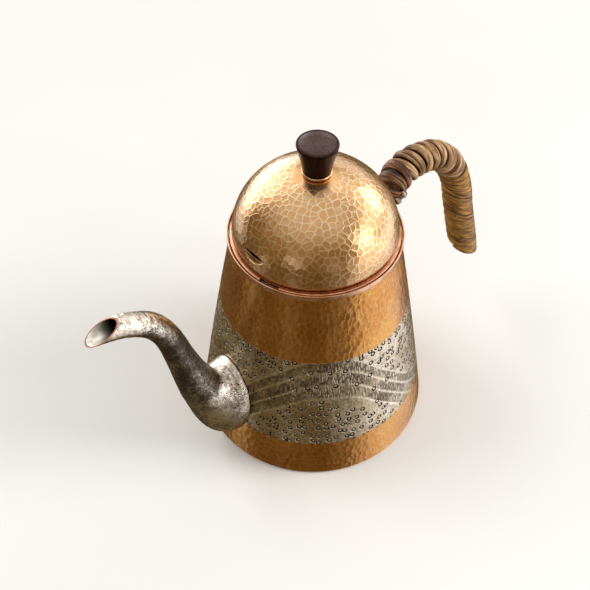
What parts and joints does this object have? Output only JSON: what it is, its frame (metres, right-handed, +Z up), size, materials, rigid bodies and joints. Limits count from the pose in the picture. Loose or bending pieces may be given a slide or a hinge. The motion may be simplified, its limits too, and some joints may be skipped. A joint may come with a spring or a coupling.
{
  "type": "gooseneck kettle",
  "caption": "Tapered gooseneck pouring kettle in hammered copper with a lift-off domed lid, round wooden knob, curved spout and a vine-wound open handle.",
  "frame": {"origin": "centre of the flat underside of the base", "axes": "+Z up, spout towards -X, handle towards +X, so y = 0 is the middle plane"},
  "size_m": [0.236, 0.1196, 0.171],
  "materials": {
    "hammered_copper": "hammered copper, satin, lightly toned",
    "lid_copper": "hammered copper with a golden lacquered tone",
    "bare_copper": "smooth pink copper",
    "tinned_copper": "tin over copper, hammered, with a dark mottled patina",
    "brass_fittings": "polished",
    "rosewood": "turned dark hardwood, oiled",
    "vine_dark": "dark split vine",
    "vine_tan": "tan split vine"
  },
  "bodies": {
    "kettle": {"body_wall": "hammered_copper", "base_pan": "hammered_copper", "rim_ring": "bare_copper", "lid_seat_ring": "bare_copper", "spout": "tinned_copper", "handle_bracket": "hammered_copper", "handle_rivet_left": "brass_fittings", "handle_rivet_right": "brass_fittings", "handle_rivet_lower": "brass_fittings", "handle_core": "hammered_copper", "handle_end_plug": "hammered_copper", "vine_root_binding": "vine_dark", "vine_bend_wrap": "vine_tan", "vine_grip_wrap": "vine_tan"},
    "lid_spindle": {"knob_screw": "brass_fittings", "knob_inner_washer": "brass_fittings"},
    "lid": {"lid_dome": "lid_copper", "lid_collar": "bare_copper", "lid_lock_tab": "bare_copper", "knob": "rosewood", "knob_ferrule": "brass_fittings"}
  },
  "joints": [
    {"name": "lid_lift", "type": "slide", "parent": "kettle", "child": "lid_spindle", "axis": [0, 0, 1], "range_m": [0, 0.06]},
    {"name": "lid_turn", "type": "hinge", "parent": "lid_spindle", "child": "lid", "pos_m": [0, 0, 0.1538], "axis": [0, 0, 1], "continuous": true}
  ]
}
